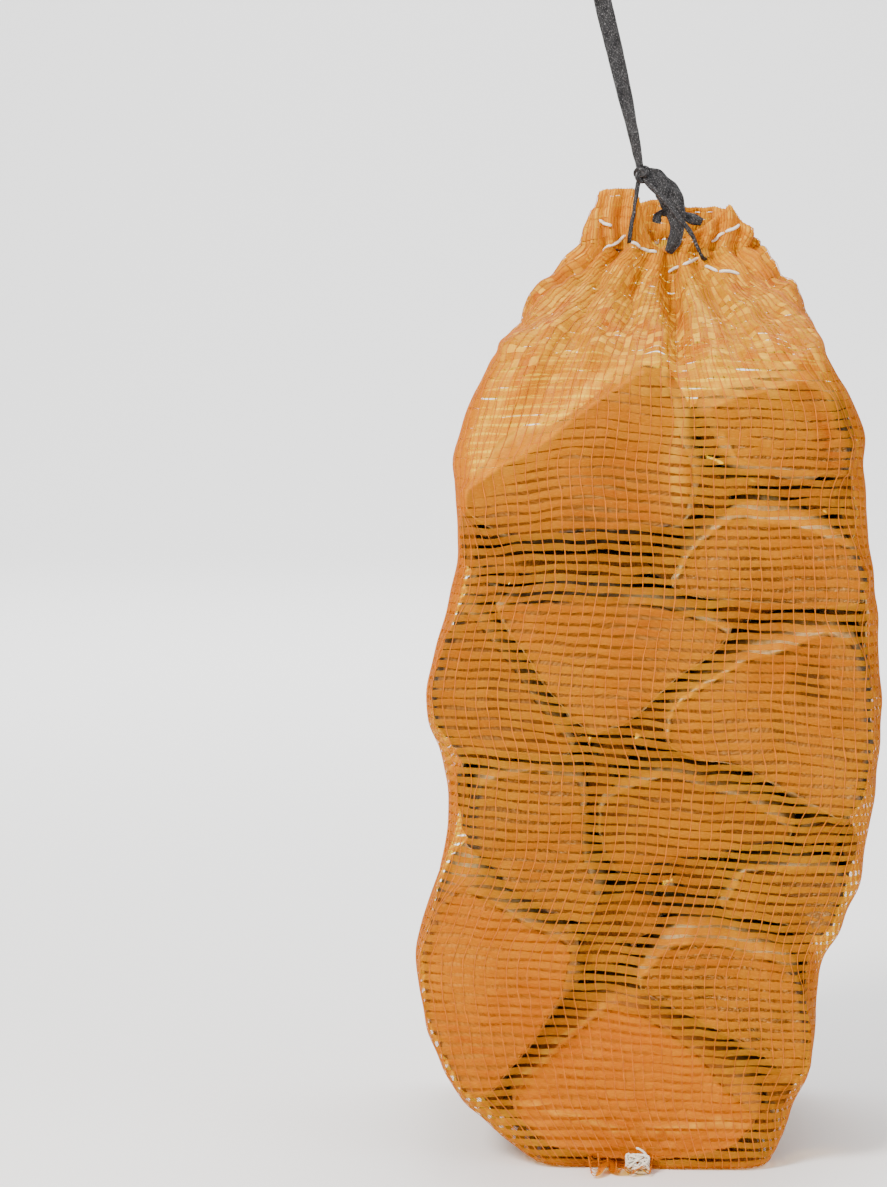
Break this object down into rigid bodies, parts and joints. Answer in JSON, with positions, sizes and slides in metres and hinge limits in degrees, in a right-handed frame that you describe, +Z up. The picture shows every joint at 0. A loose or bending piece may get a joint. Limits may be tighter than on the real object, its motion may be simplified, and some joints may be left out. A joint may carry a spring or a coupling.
{
  "type": "firewood bundle",
  "caption": "Standing net sack of split firewood logs laid crosswise, drawn shut at the neck by a knotted drawstring.",
  "frame": {"origin": "on the floor under the middle of the sack's bounding box, leaving out the free drawstring", "axes": "+Z up, the logs lie along Y, and the front with the knot and the end grain faces -Y"},
  "size_m": [0.25, 0.2583, 0.657],
  "materials": {
    "split_wood": "raw split and sawn wood with bark edges",
    "orange_net": "see-through knitted plastic tape net",
    "white_thread": "thick matt thread",
    "black_tape": "flat plastic tape, slightly shiny"
  },
  "bodies": {
    "root": {"split_log_top_left": "split_wood", "split_log_top_right": "split_wood", "split_log_right_shoulder": "split_wood", "split_log_centre_wedge": "split_wood", "split_log_left_side": "split_wood", "split_log_right_large": "split_wood", "split_log_left_round": "split_wood", "split_log_half_round": "split_wood", "split_log_right_small": "split_wood", "split_log_lower_right": "split_wood", "split_log_lower_left": "split_wood", "split_log_bottom_wedge": "split_wood", "net_sack": "orange_net", "bottom_seam_frill": "orange_net", "bottom_seam_thread": "white_thread", "hem_stitching": "white_thread", "drawstring_loop": "black_tape", "drawstring_knot": "black_tape", "drawstring_short_end": "black_tape", "drawstring_tail": "black_tape", "drawstring_end_knot": "black_tape"}
  },
  "joints": []
}
